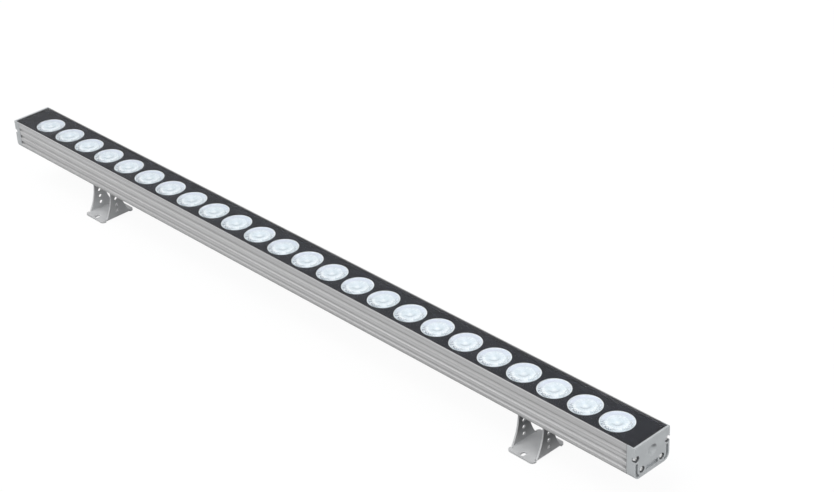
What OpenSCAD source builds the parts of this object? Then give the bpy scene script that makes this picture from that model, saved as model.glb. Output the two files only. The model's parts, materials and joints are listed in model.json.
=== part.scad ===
// Linear outdoor wall washer light on two tilting foot brackets.
// An aluminium extrusion with a glass front holds a row of round lenses over LED boards.
// Each bracket hinges on a block that slides along the T-slot under the housing.
// Frame: X runs along the light, -Y is the front, +Z is up, and Z = 0 is the mounting plane.

/* [Light] */
// Number of lenses in the row, an even number
lens_count = 24; // [12:2:36]
// Distance from one lens to the next
lens_pitch = 39.8; // [39:0.1:50]
// Length added at each end beyond the lens row
end_margin = 22.4; // [18:0.1:40]

/* [Housing] */
// Width of the housing
body_w = 50; // [49:0.5:60]
// Height of the housing, up to its rims
body_h = 37; // [36:0.5:45]
// Thickness of the side walls
side_wall = 3; // [2.6:0.1:3.2]
// Thickness of the bottom wall
floor_t = 2.5; // [2:0.1:3]
// Radius of the two long bottom corners
corner_r = 7.5; // [5:0.5:9]
// Thickness of the rims beside the glass
rim_t = 0.9; // [0.7:0.1:2]
// Height of the shelf's top, which carries the LED boards
shelf_h = 15; // [14.5:0.1:16]
// Thickness of the shelf
shelf_t = 2.5; // [1.5:0.1:2.6]
// Thickness of the ledges under the glass
ledge_t = 2; // [1.5:0.1:3]
// How far the ledges stand in from the side walls
ledge_reach = 1.8; // [1:0.1:2.4]
// Width of the mouth of the side grooves
groove_w = 4.6; // [3:0.1:6]
// Depth of the upper side groove
upper_groove_depth = 0.7; // [0.3:0.1:1.2]
// Distance of the upper side groove's middle below the rims
upper_groove_drop = 9.3; // [8:0.1:10]
// Depth of the middle side groove
middle_groove_depth = 1.1; // [0.3:0.1:1.4]
// Height of the middle side groove's middle
middle_groove_h = 18.7; // [16.5:0.1:19]
// Depth of the lower side groove
lower_groove_depth = 1; // [0.3:0.1:1.2]
// Height of the lower side groove's middle
lower_groove_h = 10.6; // [10:0.1:11.5]

/* [T-slot] */
// Width of the slot's mouth
slot_mouth_w = 10; // [8:0.5:12]
// Width of the slot behind its lips
slot_w = 17; // [14:0.5:18]
// Thickness of the slot's lips
slot_lip_t = 3; // [2.5:0.1:3.2]
// Height of the slot behind its lips
slot_h = 5; // [4.4:0.1:5.4]
// Thickness of the wall around the slot
slot_wall = 1.8; // [1.2:0.1:2]

/* [Screw ports] */
// Bore of the ports that take the end cap screws
port_d = 3.4; // [3.4:0.1:3.6]
// Wall around each port
port_wall = 1.2; // [0.9:0.1:1.3]
// Distance of the upper ports from the side faces
upper_port_inset = 3; // [2.8:0.1:3.1]
// Distance of the upper ports below the rims
upper_port_drop = 13.5; // [13:0.1:14]
// Distance of the lower ports from the middle
lower_port_y = 14; // [13.6:0.1:14.5]
// Height of the lower ports
lower_port_h = 8; // [7.4:0.1:8.4]

/* [End caps] */
// Length of an end cap
cap_len = 9.5; // [8.5:0.5:14]
// Thickness of the lip that holds the end of the glass
cap_lip = 2.2; // [1.8:0.1:4]
// Thickness of the cap's end wall
cap_wall = 6; // [5:0.1:6.5]
// Width of the thin rim round the outer pockets
cap_rim = 1.8; // [1.2:0.1:2.4]
// Width of the curved corner pockets
corner_pocket_w = 2.8; // [1.5:0.1:2.9]
// Depth of the outer pockets
pocket_depth = 2.5; // [1:0.1:3]
// Wall between a corner pocket and the upper counterbore
upper_land = 2; // [1.5:0.1:6]
// Wall between a corner pocket and the lower counterbore
lower_land = 0.5; // [0.4:0.1:1.5]
// Height of the middle pocket's lower edge
middle_pocket_z = 4.5; // [3:0.1:5]
// Height of the middle pocket
middle_pocket_h = 5; // [3:0.1:6]
// Thickness of the end gaskets
gasket_t = 0.5; // [0.5:0.1:1.5]
// How far the gaskets stay in from the outside
gasket_inset = 0.4; // [0.3:0.1:1.2]
// Diameter of the cable entry bores
entry_d = 13; // [10:0.5:13.5]
// Distance of the cable entry bores below the rims
entry_drop = 14; // [13.9:0.1:14.6]
// Diameter of the flange behind the plug and the grommet
entry_flange_d = 14.6; // [14.2:0.1:14.8]
// Thickness of the flange behind the plug and the grommet
entry_flange_t = 1.2; // [0.8:0.1:1.6]
// How deep the grommet sits below the outside
entry_recess = 1.2; // [0.4:0.1:2]
// How deep the plug sits below the outside
plug_recess = 0.4; // [0.2:0.1:1.2]
// Width of the rim round the dish in the plug's face
plug_rim = 0.8; // [0.4:0.1:2]
// Depth of the dish in the plug's face
plug_dish_h = 2.4; // [1:0.1:3]
// Bore of the grommet, for the feed cable
cable_d = 7; // [5:0.5:8]

/* [End cap screws] */
// Diameter of the screws' shanks
cap_screw_d = 3.3; // [2.6:0.1:3.3]
// Length of the screws' shanks
cap_screw_len = 16; // [10:0.5:20]
// Diameter of the screws' heads
cap_head_d = 6; // [5:0.1:6]
// Height of the screws' heads
cap_head_t = 2.1; // [1.4:0.1:2.2]
// Depth of the upper counterbores
upper_sink = 3.2; // [2.4:0.1:3.6]
// Depth of the lower counterbores
lower_sink = 2.6; // [2.3:0.1:3.6]

/* [Front] */
// Thickness of the cover glass
glass_t = 5; // [3:0.5:6]
// How deep the glass lies below the rims
glass_drop = 0.2; // [0:0.1:1]
// Thickness of the black print behind the glass
print_t = 0.3; // [0.2:0.1:0.5]
// How far the print covers the rim of each lens
print_overlap = 0.4; // [0.2:0.1:2]
// Thickness of the seal beside the glass
seal_w = 1; // [0.6:0.1:1.5]
// Thickness of the seal under the glass
seal_base_t = 0.5; // [0.3:0.1:1]

/* [Optics] */
// Distance of the lenses from the housing's side faces
lens_inset = 7.1; // [7:0.1:7.3]
// Space left between a lens and the next
lens_space = 4.2; // [4:0.1:4.6]
// Thickness of a lens's flange
lens_flange_t = 1.5; // [1:0.1:2]
// Diameter of a lens's foot
lens_foot_d = 12; // [10:0.5:14]
// Diameter of the hollow in a lens's foot
lens_hollow_d = 8; // [6:0.5:8.5]
// Depth of the hollow in a lens's foot
lens_hollow_h = 5; // [4:0.1:6]
// Diameter of the dish in a lens's face
lens_dish_d = 13; // [8:0.5:20]
// Depth of the dish in a lens's face
lens_dish_h = 1.2; // [0.4:0.1:2]
// Gap between the lenses and the print
lens_gap = 0.3; // [0.1:0.1:0.6]
// Wall of a lens holder beside the flange
holder_rim = 0.7; // [0.5:0.1:0.8]
// Wall of a lens holder below the flange
holder_wall = 1.6; // [1:0.1:2.4]
// How far the holders end below the lens faces
holder_drop = 0.3; // [0.1:0.1:1]

/* [LED boards] */
// Distance of the LED boards from the housing's side faces
board_side = 7; // [6.5:0.5:8]
// Thickness of the LED boards
board_t = 1.6; // [1:0.1:1.6]
// Gap between the two boards
board_joint = 0.5; // [0.2:0.1:2]
// How far the boards end before the ends of the extrusion
board_inset = 4; // [2:0.5:4.5]
// Side of an emitter's square base
led_side = 5; // [3:0.1:5.4]
// Thickness of an emitter's base
led_base_t = 1; // [0.6:0.1:1.4]
// Diameter of an emitter's dome
led_dome_d = 4.2; // [2.4:0.1:4.4]
// Length of a driver chip
chip_l = 5; // [3:0.5:6]
// Width of a driver chip
chip_w = 4; // [3:0.5:5]
// Thickness of a driver chip
chip_t = 1.6; // [1:0.1:2]
// Distance of the chips and board screws from the boards' edges
side_row_inset = 3.5; // [3:0.1:4]
// Diameter of the board screws' shanks
board_screw_d = 3; // [2:0.1:3]
// Diameter of the board screws' heads
board_head_d = 5.4; // [4:0.1:5.6]
// Height of the board screws' heads
board_head_t = 2; // [1.4:0.1:2.6]
// Length of the terminal block
terminal_l = 6; // [4:0.5:6]
// Width of the terminal block
terminal_w = 12; // [8:0.5:14]
// Height of the terminal block
terminal_h = 5; // [3:0.5:8]
// Length of the jumpers between the boards
jumper_l = 8; // [6:0.5:9]
// Width of the jumpers
jumper_w = 4; // [3:0.5:4.5]
// Height of the jumpers
jumper_h = 3; // [2:0.5:4]

/* [Brackets] */
// Distance of a bracket's middle from the end of the light
bracket_inset = 147; // [60:1:180]
// Width of a bracket along the light
bracket_w = 35; // [33:0.5:50]
// Depth of a bracket's base from front to rear
bracket_d = 47; // [45:0.5:60]
// Thickness of the bracket's sheet
plate_t = 2; // [1.5:0.1:3]
// Radius inside the bracket's bends
bend_r = 1; // [0.5:0.1:3]
// Radius of the base's corners
tab_r = 4; // [2:0.5:5]
// Width of an ear at its root
ear_root_w = 33.5; // [28:0.5:35]
// Width of an ear at its top
ear_neck_w = 13; // [12:0.5:16]
// Width of the relief cuts beside the bends
relief_w = 1.2; // [0.6:0.1:1.6]
// Height of the pivot above the mounting plane
pivot_h = 38; // [36:0.5:50]
// Distance of the pivot below the housing
pivot_drop = 10; // [9:0.5:16]
// Diameter of the round holes in the ears
ear_hole_d = 4.6; // [3:0.1:5]
// Height of the lowest round hole
ear_hole_h = 9; // [7:0.1:10]
// Distance between the round holes
ear_hole_pitch = 8.2; // [6:0.1:8.6]
// Number of round holes in an ear below the pivot
ear_hole_count = 3; // [1:1:3]
// Width of the fixing slots in the base
fix_slot_w = 5; // [4:0.1:5.5]
// Length of the fixing slots from end to end
fix_slot_len = 7; // [6:0.1:7.6]
// Distance of the fixing slots from the front and rear edges
fix_slot_inset = 5.5; // [5:0.5:7]
// Width of the coined ring round each fixing slot
coin_w = 1.8; // [1:0.1:2]
// Depth of the coined ring
coin_t = 0.3; // [0.1:0.1:0.5]

/* [Pivots] */
// Diameter of the pivot screws
pivot_d = 5; // [4:0.1:5.4]
// Diameter of the pivot screws' heads
pivot_head_d = 9; // [8:0.1:11]
// Height of the pivot screws' heads
pivot_head_t = 2.8; // [2:0.1:4]
// How far a pivot screw reaches into the hinge block
pivot_reach = 8.6; // [6:0.1:9]
// Hexagon recess across its flats
pivot_hex_w = 3; // [2:0.5:4]
// Depth of the hexagon recess
pivot_hex_h = 1.6; // [1:0.1:2]
// Diameter of the pivot washers
washer_d = 10; // [8.5:0.1:11]
// Thickness of the pivot washers
washer_t = 0.8; // [0.5:0.1:1.2]

/* [Carriages] */
// Thickness of a hinge block from front to rear
block_t = 10; // [9:0.5:12]
// How far a hinge block reaches below the pivot
block_drop = 4.5; // [4.2:0.1:6]
// Radius of the hinge block's lower edges
block_edge_r = 2; // [1:0.1:3]
// Width of the hinge block's flange
flange_w = 18; // [16:0.5:24]
// Thickness of the hinge block's flange
flange_t = 2.5; // [2:0.1:3]
// Length of a T-nut
nut_len = 24; // [16:0.5:28]
// Height of a T-nut
nut_h = 3.8; // [3:0.1:3.8]
// Diameter of the clamp screws
clamp_d = 4; // [3:0.1:4.4]
// Diameter of the clamp screws' heads
clamp_head_d = 6.8; // [6:0.1:7.4]
// Height of the clamp screws' heads
clamp_head_t = 2.5; // [2:0.1:3]
// Hexagon recess of the clamp screws across its flats
clamp_hex_w = 2.5; // [2:0.5:3]
// Depth of the clamp screws' hexagon recess
clamp_hex_h = 1.5; // [1:0.1:1.8]

/* [Clearances] */
// Radial clearance of a turning fit
run_gap = 0.05; // [0.02:0.01:0.08]
// Radial clearance of a fixed screw in its thread
fit_gap = 0.05; // [0.02:0.01:0.1]
// Clearance of a screw's shank in a through hole
shank_gap = 0.4; // [0.1:0.1:0.5]
// Clearance round a screw's head in its counterbore
head_gap = 0.5; // [0.2:0.1:0.6]
// Clearance of sliding faces
slide_gap = 0.1; // [0.05:0.05:0.2]
// Clearance of the hinge block and T-nut beside the slot
slot_side_gap = 0.2; // [0.1:0.05:0.3]

/* [Hidden] */
// Overrun of a cut past the face that it opens
cut = 1;
// Arc segments
round_fn = 64;
small_fn = 32;

// Overall length of the light
light_len = lens_count * lens_pitch + 2 * end_margin;
// Length of the extrusion between the end gaskets
profile_len = light_len - 2 * (cap_len + gasket_t);
// Height of the housing's underside above the mounting plane
body_z = pivot_h + pivot_drop;

// Half widths of the housing's outside and inside
body_y = body_w / 2;
inner_y = body_y - side_wall;
ledge_y = inner_y - ledge_reach;
pocket_y = body_y - rim_t;
hollow_y = ledge_y - ledge_reach;

// Heights above the housing's underside, from the rims down to the lens
upper_groove_h = body_h - upper_groove_drop;
upper_port_h = body_h - upper_port_drop;
entry_h = body_h - entry_drop;
glass_top = body_h - glass_drop;
glass_base = glass_top - glass_t;
print_base = glass_base - print_t;
ledge_top = print_base - seal_base_t;
ledge_base = ledge_top - ledge_t;
lens_top = print_base - lens_gap;
lens_seat = lens_top - lens_flange_t;
board_top = shelf_h + board_t;
holder_top = lens_top - holder_drop;
led_base_top = board_top + led_base_t;
// The lens's foot starts above the emitter's base
lens_foot = led_base_top + slot_side_gap;
slot_roof = slot_lip_t + slot_h;

// Half lengths along the light
cap_x = light_len / 2;
cap_inner_x = cap_x - cap_len;
profile_x = profile_len / 2;
glass_pocket_x = cap_x - cap_lip;
glass_x = glass_pocket_x - seal_w;
hollow_x = cap_x - cap_wall;
board_x = profile_x - board_inset;
glass_y = pocket_y - seal_w;

// Screw ports, and the pockets beside the screws' counterbores
port_r = port_d / 2 + port_wall;
upper_port_y = body_y - upper_port_inset;
sink_d = cap_head_d + 2 * head_gap;
corner_pocket_h = upper_port_h - sink_d / 2 - upper_land;
corner_pocket_y = lower_port_y + sink_d / 2 + lower_land;

// Lenses and boards. A lens is as large as both the housing and the pitch allow
lens_d = min(body_w - 2 * lens_inset, lens_pitch - lens_space);
window_d = lens_d - 2 * print_overlap;
holder_d = lens_d + 2 * holder_rim;
board_w = body_w - 2 * board_side;
side_row_y = board_w / 2 - side_row_inset;

// Brackets and carriages
bracket_x = cap_x - bracket_inset;
fix_slot_span = bracket_d - 2 * fix_slot_inset;
ear_x = bracket_w / 2 - plate_t;
block_x = ear_x - slide_gap - washer_t;
head_x = bracket_w / 2 + slide_gap + washer_t;
ear_top_r = ear_neck_w / 2;
// The concave sides of an ear are arcs that start upright at the pivot and end at the root
ear_flare = (ear_root_w - ear_neck_w) / 2;
ear_arc_r = (pow(pivot_h - plate_t, 2) + pow(ear_flare, 2)) / (2 * ear_flare);
nut_z = slot_lip_t + slide_gap;
// Height where the clamp screw's head bears inside the hinge block
clamp_seat = pivot_h - block_drop + clamp_head_t + slide_gap;

// Middle of lens i, and of the space between lens g and the next
function lens_x(i) = (i - (lens_count + 1) / 2) * lens_pitch;
function space_x(g) = (g - lens_count / 2) * lens_pitch;
// Radius of the circle that cuts a groove with this mouth and depth
function groove_r(depth) = (pow(groove_w / 2, 2) + depth * depth) / (2 * depth);
// Names lens_01, lens_02 and so on
function lens_name(i) = str("lens_", i < 10 ? "0" : "", i);

// Extrudes a section drawn in (Y, Z) along X, centred, and lifts it to the housing
module along_x(length) {
    translate([-length / 2, 0, 0])
        rotate([90, 0, 90])
            linear_extrude(height = length)
                children();
}

// Repeats a screw or a washer at both ends of a hinge block
module both_ends() {
    children();
    mirror([1, 0, 0]) children();
}

// A rectangle in a section, from y0 to y1 and z0 to z1
module span(y0, y1, z0, z1) {
    translate([y0, z0]) square([y1 - y0, z1 - z0]);
}

// The housing's outline, set in by a margin, with its two round lower corners
module outline(inset = 0) {
    r = corner_r - inset;
    half = body_y - inset;
    span(-half, half, corner_r, body_h - inset);
    span(-half + r, half - r, inset, corner_r + inset);
    for (side = [-1, 1])
        translate([side * (half - r), corner_r]) circle(r = r, $fn = round_fn);
}

// The four screw positions of an end
module at_ports(upper = true, lower = true) {
    for (side = [-1, 1]) {
        if (upper) translate([side * upper_port_y, upper_port_h]) children();
        if (lower) translate([side * lower_port_y, lower_port_h]) children();
    }
}

// Three shallow coves along each side
module side_grooves() {
    for (side = [-1, 1]) {
        groove(side, upper_groove_depth, upper_groove_h);
        groove(side, middle_groove_depth, middle_groove_h);
        groove(side, lower_groove_depth, lower_groove_h);
    }
}

module groove(side, depth, height) {
    r = groove_r(depth);
    translate([side * (body_y + r - depth), height]) circle(r = r, $fn = round_fn);
}

// Everything hollow inside the extrusion
module profile_hollows() {
    // Light chamber above the shelf
    span(-inner_y, inner_y, shelf_h, ledge_base);
    span(-ledge_y, ledge_y, ledge_base - cut, ledge_top + cut);
    // Pocket for the seal and the glass
    span(-pocket_y, pocket_y, ledge_top, body_h + cut);
    // Channels beside the T-slot
    for (side = [-1, 1])
        mirror([side < 0 ? 1 : 0, 0]) side_channel();
}

module side_channel() {
    near = slot_w / 2 + slot_wall;
    r = corner_r - floor_t;
    top = shelf_h - shelf_t;
    span(near, inner_y, corner_r, top);
    span(near, inner_y - r, floor_t, corner_r + slot_wall);
    translate([inner_y - r, corner_r]) circle(r = r, $fn = round_fn);
}

module t_slot() {
    span(-slot_mouth_w / 2, slot_mouth_w / 2, -cut, slot_lip_t + cut);
    span(-slot_w / 2, slot_w / 2, slot_lip_t, slot_roof);
}

// Webs that tie the lower ports to the wall of the slot
module port_webs() {
    near = slot_w / 2 + slot_wall - cut;
    for (side = [-1, 1])
        mirror([side < 0 ? 1 : 0, 0]) span(near, lower_port_y, floor_t - cut, lower_port_h);
}

module profile_section() {
    difference() {
        outline();
        side_grooves();
        difference() {
            profile_hollows();
            at_ports() circle(r = port_r, $fn = round_fn);
            port_webs();
        }
        at_ports() circle(d = port_d, $fn = small_fn);
        t_slot();
    }
}

// The extruded body, with the threaded holes of the board screws in its shelf
module housing_profile() {
    color("silver")
        difference() {
            translate([0, 0, body_z]) along_x(profile_len) profile_section();
            at_board_screws()
                translate([0, 0, body_z + shelf_h - shelf_t - cut])
                    cylinder(d = board_screw_d + 2 * fit_gap, h = shelf_t + 2 * cut, $fn = small_fn);
        }
}

// A cap's outline extruded from one X to another, at the right-hand end
module end_slab(x0, x1) {
    translate([x0, 0, body_z])
        rotate([90, 0, 90])
            linear_extrude(height = x1 - x0)
                children();
}

// The cap at the +X end: pocket for the glass, hollow behind, screw holes and outer pockets
module end_cap() {
    color("silver")
        difference() {
            end_slab(cap_inner_x, cap_x) outline();
            end_slab(cap_inner_x - cut, glass_pocket_x) span(-pocket_y, pocket_y, ledge_top, body_h + cut);
            end_slab(cap_inner_x - cut, hollow_x) {
                span(-hollow_y, hollow_y, shelf_h, ledge_top + cut);
                translate([0, entry_h]) circle(d = entry_flange_d + 2 * fit_gap, $fn = round_fn);
            }
            end_slab(cap_inner_x - cut, cap_x + cut) cap_bores();
            end_slab(cap_x - upper_sink, cap_x + cut)
                at_ports(lower = false) circle(d = sink_d, $fn = round_fn);
            end_slab(cap_x - lower_sink, cap_x + cut)
                at_ports(upper = false) circle(d = sink_d, $fn = round_fn);
            end_slab(cap_x - pocket_depth, cap_x + cut) cap_pockets();
        }
}

module cap_bores() {
    at_ports() circle(d = cap_screw_d + 2 * shank_gap, $fn = small_fn);
    translate([0, entry_h]) circle(d = entry_d, $fn = round_fn);
}

// Curved pockets in the lower corners, and a long one between the lower screws
module cap_pockets() {
    intersection() {
        difference() {
            outline(cap_rim);
            outline(cap_rim + corner_pocket_w);
        }
        union()
            for (side = [-1, 1])
                mirror([side < 0 ? 1 : 0, 0]) span(corner_pocket_y, body_y, 0, corner_pocket_h);
    }
    span(-slot_w / 2, slot_w / 2, middle_pocket_z, middle_pocket_z + middle_pocket_h);
}

// Flat silicone gasket between a cap and the extrusion
module end_gasket() {
    color("dimgray")
        end_slab(profile_x, cap_inner_x)
            difference() {
                outline(gasket_inset);
                span(-hollow_y, hollow_y, shelf_h, ledge_top + cut);
                span(-pocket_y, pocket_y, ledge_top, body_h);
                at_ports() circle(d = cap_screw_d + 2 * shank_gap, $fn = small_fn);
            }
}

// One pan-head screw with its head's underside at X = 0, pointing along -X
module cap_screw() {
    edge = cap_head_t / 3;
    rotate([0, 90, 0])
        difference() {
            union() {
                translate([0, 0, -cap_screw_len])
                    cylinder(d = cap_screw_d, h = cap_screw_len, $fn = small_fn);
                rotate_extrude($fn = small_fn)
                    polygon([
                        [0, 0],
                        [cap_head_d / 2, 0],
                        [cap_head_d / 2, cap_head_t - 2 * edge],
                        [cap_head_d / 2 - edge, cap_head_t - edge / 2],
                        [cap_head_d / 3 - edge, cap_head_t],
                        [0, cap_head_t]
                    ]);
            }
            cross_recess(cap_head_d, cap_head_t);
        }
}

// Cross recess in the top of a screw head
module cross_recess(head_d, head_t) {
    arm = head_d / 2;
    blade = head_d / 6;
    depth = head_t / 2;
    for (turn = [0, 90])
        rotate([0, 0, turn])
            translate([-arm / 2, -blade / 2, head_t - depth])
                cube([arm, blade, depth + cut]);
}

module cap_screws() {
    color("gainsboro")
        for (side = [-1, 1]) {
            translate([cap_x - upper_sink, side * upper_port_y, body_z + upper_port_h]) cap_screw();
            translate([cap_x - lower_sink, side * lower_port_y, body_z + lower_port_h]) cap_screw();
        }
}

// Body of revolution in a cable entry: a shank that ends in a recess, and a flange behind it
module entry_body(recess) {
    translate([0, 0, body_z + entry_h])
        rotate([0, 90, 0]) {
            translate([0, 0, hollow_x])
                cylinder(d = entry_d - 2 * fit_gap, h = cap_wall - recess, $fn = round_fn);
            translate([0, 0, hollow_x - entry_flange_t])
                cylinder(d = entry_flange_d, h = entry_flange_t, $fn = round_fn);
        }
}

// Blanking plug in the right-hand cap, with a dished face
module entry_plug() {
    dish_r = entry_d / 2 - fit_gap - plug_rim;
    color("silver")
        difference() {
            entry_body(plug_recess);
            translate([cap_x - plug_recess, 0, body_z + entry_h])
                rotate([0, 90, 0])
                    rotate_extrude($fn = round_fn)
                        polygon([
                            [0, -plug_dish_h],
                            [dish_r / 3, -plug_dish_h * 9 / 10],
                            [dish_r * 2 / 3, -plug_dish_h * 3 / 5],
                            [dish_r, 0],
                            [dish_r, cut],
                            [0, cut]
                        ]);
        }
}

// Rubber grommet in the left-hand cap, with the bore for the feed cable
module cable_grommet() {
    color("dimgray")
        mirror([1, 0, 0])
            difference() {
                entry_body(entry_recess);
                translate([0, 0, body_z + entry_h])
                    rotate([0, 90, 0])
                        translate([0, 0, hollow_x - entry_flange_t - cut])
                            cylinder(d = cable_d, h = cap_wall + entry_flange_t + 2 * cut, $fn = round_fn);
            }
}

// A flat plate centred on the light, from z0 to z1 above the housing's underside
module front_plate(half_x, half_y, z0, z1) {
    translate([-half_x, -half_y, body_z + z0]) cube([2 * half_x, 2 * half_y, z1 - z0]);
}

module cover_glass() {
    color("lightcyan", 0.3) front_plate(glass_x, glass_y, glass_base, glass_top);
}

// Black print behind the glass, with one round window for each lens
module glass_print() {
    color("black")
        difference() {
            front_plate(glass_x, glass_y, print_base, glass_base);
            for (i = [1:lens_count])
                translate([lens_x(i), 0, body_z + print_base - cut])
                    cylinder(d = window_d, h = print_t + 2 * cut, $fn = round_fn);
        }
}

// Black seal beside and under the glass
module glass_seal() {
    color("black")
        difference() {
            front_plate(glass_pocket_x, pocket_y, ledge_top, glass_top);
            front_plate(glass_x, glass_y, print_base, glass_top + cut);
            front_plate(hollow_x, ledge_y, ledge_top - cut, glass_top + cut);
        }
}

// One lens: a wide flange, a cone down to its foot, a hollow over the emitter and a shallow dish
module lens(i) {
    flange_r = lens_d / 2;
    cone_r = flange_r - holder_wall;
    color("aliceblue", 0.6)
        translate([lens_x(i), 0, body_z])
            rotate_extrude($fn = round_fn)
                polygon([
                    [lens_hollow_d / 2, lens_foot],
                    [lens_foot_d / 2, lens_foot],
                    [cone_r, lens_seat],
                    [flange_r, lens_seat],
                    [flange_r, lens_top],
                    [lens_dish_d / 2, lens_top],
                    [lens_dish_d / 4, lens_top - lens_dish_h],
                    [0, lens_top - lens_dish_h],
                    [0, lens_foot + lens_hollow_h],
                    [lens_hollow_d / 4, lens_foot + lens_hollow_h - lens_gap],
                    [lens_hollow_d / 2, lens_foot + lens_hollow_h / 2]
                ]);
}

// The holders of half the lenses: a cup that the lens's flange rests in
module lens_holders(first, last) {
    color("whitesmoke")
        for (i = [first:last])
            translate([lens_x(i), 0, body_z])
                difference() {
                    translate([0, 0, board_top])
                        cylinder(d = holder_d, h = holder_top - board_top, $fn = round_fn);
                    translate([0, 0, board_top - cut])
                        cylinder(d = lens_d - 2 * holder_wall + 2 * fit_gap, h = body_h, $fn = round_fn);
                    translate([0, 0, lens_seat])
                        cylinder(d = lens_d + 2 * fit_gap, h = body_h, $fn = round_fn);
                }
}

// An LED board from x0 to x1, with holes for its screws
module led_board(x0, x1) {
    color("white")
        difference() {
            translate([x0, -board_w / 2, body_z + shelf_h]) cube([x1 - x0, board_w, board_t]);
            at_board_screws()
                translate([0, 0, body_z + shelf_h - cut])
                    cylinder(d = board_screw_d + 2 * fit_gap, h = board_t + 2 * cut, $fn = small_fn);
        }
}

// Emitters: a square base under a dome
module led_emitters(first, last) {
    color("khaki")
        for (i = [first:last])
            translate([lens_x(i), 0, body_z + board_top]) {
                translate([-led_side / 2, -led_side / 2, 0]) cube([led_side, led_side, led_base_t]);
                translate([0, 0, led_base_t])
                    difference() {
                        sphere(d = led_dome_d, $fn = small_fn);
                        translate([-led_side, -led_side, -2 * led_side])
                            cube([2 * led_side, 2 * led_side, 2 * led_side]);
                    }
            }
}

// Driver chips beside every second space between the lenses
module driver_chips(first, last) {
    color("black")
        for (g = [first:last])
            if (g % 2 == 1)
                translate([space_x(g) - chip_l / 2, side_row_y - chip_w / 2, body_z + board_top])
                    cube([chip_l, chip_w, chip_t]);
}

// Board screws stand in the spaces without chips, on alternate sides
module at_board_screws() {
    for (g = [2:2:lens_count - 2])
        if (g != lens_count / 2)
            translate([space_x(g), (g % 4 == 0 ? 1 : -1) * side_row_y, 0]) children();
}

module board_screws() {
    screw_h = board_t + shelf_t + board_head_t / 2;
    color("gainsboro")
        at_board_screws()
            translate([0, 0, body_z + board_top])
                difference() {
                    union() {
                        translate([0, 0, -board_t - shelf_t])
                            cylinder(d = board_screw_d, h = screw_h, $fn = small_fn);
                        cylinder(d = board_head_d, h = board_head_t, $fn = small_fn);
                    }
                    cross_recess(board_head_d, board_head_t);
                }
}

// Two plug-in jumpers that join the boards in the middle
module board_jumpers() {
    color("white")
        for (side = [-1, 1])
            translate([-jumper_l / 2, side * side_row_y - jumper_w / 2, body_z + board_top])
                cube([jumper_l, jumper_w, jumper_h]);
}

// Two-pole terminal for the feed wires at the left end of the boards
module terminal_block() {
    pole = terminal_w / 2;
    color("seagreen")
        difference() {
            translate([-board_x, -terminal_w / 2, body_z + board_top])
                cube([terminal_l, terminal_w, terminal_h]);
            for (side = [-1, 1])
                translate([-board_x - cut, side * pole / 2, body_z + board_top + terminal_h / 2])
                    rotate([0, 90, 0])
                        cylinder(d = pole / 3, h = terminal_l / 2 + cut, $fn = small_fn);
        }
}

// Side view of an ear: upright at the pivot, flaring in two arcs to its root
module ear_side() {
    half = ear_root_w / 2;
    difference() {
        span(-half, half, 0, pivot_h);
        for (side = [-1, 1])
            translate([side * (ear_top_r + ear_arc_r), pivot_h]) circle(r = ear_arc_r, $fn = 4 * round_fn);
    }
    translate([0, pivot_h]) circle(r = ear_top_r, $fn = round_fn);
}

// End view of the folded sheet: base, two bends and two ears
module fold_section() {
    outer_r = plate_t + bend_r;
    half = bracket_w / 2;
    top = pivot_h + ear_top_r + cut;
    difference() {
        union() {
            span(-half, half, outer_r, top);
            span(-half + outer_r, half - outer_r, 0, outer_r + cut);
            for (side = [-1, 1])
                translate([side * (half - outer_r), outer_r]) circle(r = outer_r, $fn = small_fn);
        }
        span(-half + plate_t, half - plate_t, outer_r, top + cut);
        span(-half + outer_r, half - outer_r, plate_t, outer_r + cut);
        for (side = [-1, 1])
            translate([side * (half - outer_r), outer_r]) circle(r = bend_r, $fn = small_fn);
    }
}

// Plan of the base: rounded tabs at the front and rear, flat between the bends
module base_plan() {
    half_x = bracket_w / 2;
    half_y = bracket_d / 2;
    bend = plate_t + bend_r;
    root = ear_root_w / 2;
    difference() {
        union() {
            square([bracket_w - 2 * tab_r, bracket_d], center = true);
            square([bracket_w, bracket_d - 2 * tab_r], center = true);
            for (sx = [-1, 1])
                for (sy = [-1, 1])
                    translate([sx * (half_x - tab_r), sy * (half_y - tab_r)])
                        circle(r = tab_r, $fn = small_fn);
        }
        for (sx = [-1, 1])
            translate([sx * half_x, 0]) square([2 * bend, 2 * (root + relief_w)], center = true);
    }
}

// Fixing slot that runs from front to rear, grown by a margin
module fix_slot(grow = 0) {
    r = fix_slot_w / 2 + grow;
    run = (fix_slot_len - fix_slot_w) / 2;
    square([2 * r, 2 * run], center = true);
    for (side = [-1, 1])
        translate([0, side * run]) circle(r = r, $fn = small_fn);
}

// The bent sheet bracket, centred on X = 0
module bracket() {
    color("silver")
        difference() {
            union() {
                linear_extrude(height = plate_t) base_plan();
                intersection() {
                    translate([0, bracket_d / 2, 0])
                        rotate([90, 0, 0])
                            linear_extrude(height = bracket_d)
                                fold_section();
                    along_x(bracket_w + 2 * cut) ear_side();
                }
            }
            for (side = [-1, 1])
                translate([0, side * fix_slot_span / 2, 0]) {
                    translate([0, 0, -cut]) linear_extrude(height = plate_t + 2 * cut) fix_slot();
                    translate([0, 0, plate_t - coin_t]) linear_extrude(height = plate_t) fix_slot(coin_w);
                }
            for (k = [0:ear_hole_count - 1])
                translate([0, 0, ear_hole_h + k * ear_hole_pitch]) ear_bore(ear_hole_d);
            translate([0, 0, pivot_h]) ear_bore(pivot_d + 2 * run_gap);
        }
}

module ear_bore(d) {
    translate([-bracket_w / 2 - cut, 0, 0])
        rotate([0, 90, 0])
            cylinder(d = d, h = bracket_w + 2 * cut, $fn = round_fn);
}

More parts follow.
